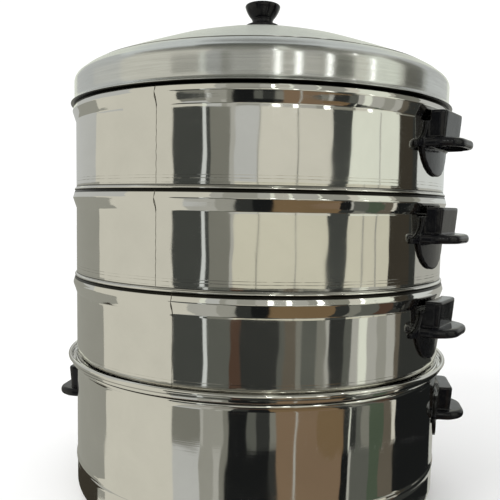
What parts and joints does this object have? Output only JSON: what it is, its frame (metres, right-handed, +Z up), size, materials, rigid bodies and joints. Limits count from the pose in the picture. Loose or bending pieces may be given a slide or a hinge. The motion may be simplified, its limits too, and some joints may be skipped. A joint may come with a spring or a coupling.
{
  "type": "stacked steamer",
  "caption": "Stacked steamer of polished steel: a stock pot, perforated steaming tiers that lift off, and a domed lid with a knob.",
  "frame": {"origin": "centre of the pot's flat bottom, which is what it stands on", "axes": "+Z up the stack towards the knob; +X towards one of the pot's two handles; the tiers' handles are turned a little about +Z from it"},
  "size_m": [0.464, 0.418, 0.534],
  "materials": {
    "mirror_steel": "mirror-polished stainless sheet",
    "satin_steel": "satin, brushed in circles",
    "screw_steel": "plated",
    "black_bakelite": "glossy moulded thermoset"
  },
  "bodies": {
    "pot": {"pot_shell": "mirror_steel", "pot_handle_right": "black_bakelite", "pot_bracket_right": "satin_steel", "pot_screw_right": "screw_steel", "pot_handle_left": "black_bakelite", "pot_bracket_left": "satin_steel", "pot_screw_left": "screw_steel"},
    "tier_3": {"tier_3_wall": "mirror_steel", "tier_3_tray": "satin_steel", "tier_3_handle_right": "black_bakelite", "tier_3_bracket_right": "satin_steel", "tier_3_screw_right": "screw_steel", "tier_3_handle_left": "black_bakelite", "tier_3_bracket_left": "satin_steel", "tier_3_screw_left": "screw_steel"},
    "tier_2": {"tier_2_wall": "mirror_steel", "tier_2_tray": "satin_steel", "tier_2_handle_right": "black_bakelite", "tier_2_bracket_right": "satin_steel", "tier_2_screw_right": "screw_steel", "tier_2_handle_left": "black_bakelite", "tier_2_bracket_left": "satin_steel", "tier_2_screw_left": "screw_steel"},
    "tier_1": {"tier_1_wall": "mirror_steel", "tier_1_tray": "satin_steel", "tier_1_handle_right": "black_bakelite", "tier_1_bracket_right": "satin_steel", "tier_1_screw_right": "screw_steel", "tier_1_handle_left": "black_bakelite", "tier_1_bracket_left": "satin_steel", "tier_1_screw_left": "screw_steel"},
    "lid": {"lid_shell": "satin_steel", "lid_knob_foot": "black_bakelite", "lid_knob": "black_bakelite", "lid_knob_washer": "satin_steel", "lid_knob_screw": "screw_steel"}
  },
  "joints": [
    {"name": "tier_3_lift", "type": "slide", "parent": "pot", "child": "tier_3", "axis": [0, 0, 1], "range_m": [0, 0.12]},
    {"name": "tier_2_lift", "type": "slide", "parent": "tier_3", "child": "tier_2", "axis": [0, 0, 1], "range_m": [0, 0.12]},
    {"name": "tier_1_lift", "type": "slide", "parent": "tier_2", "child": "tier_1", "axis": [0, 0, 1], "range_m": [0, 0.12]},
    {"name": "lid_lift", "type": "slide", "parent": "tier_1", "child": "lid", "axis": [0, 0, 1], "range_m": [0, 0.15]}
  ]
}
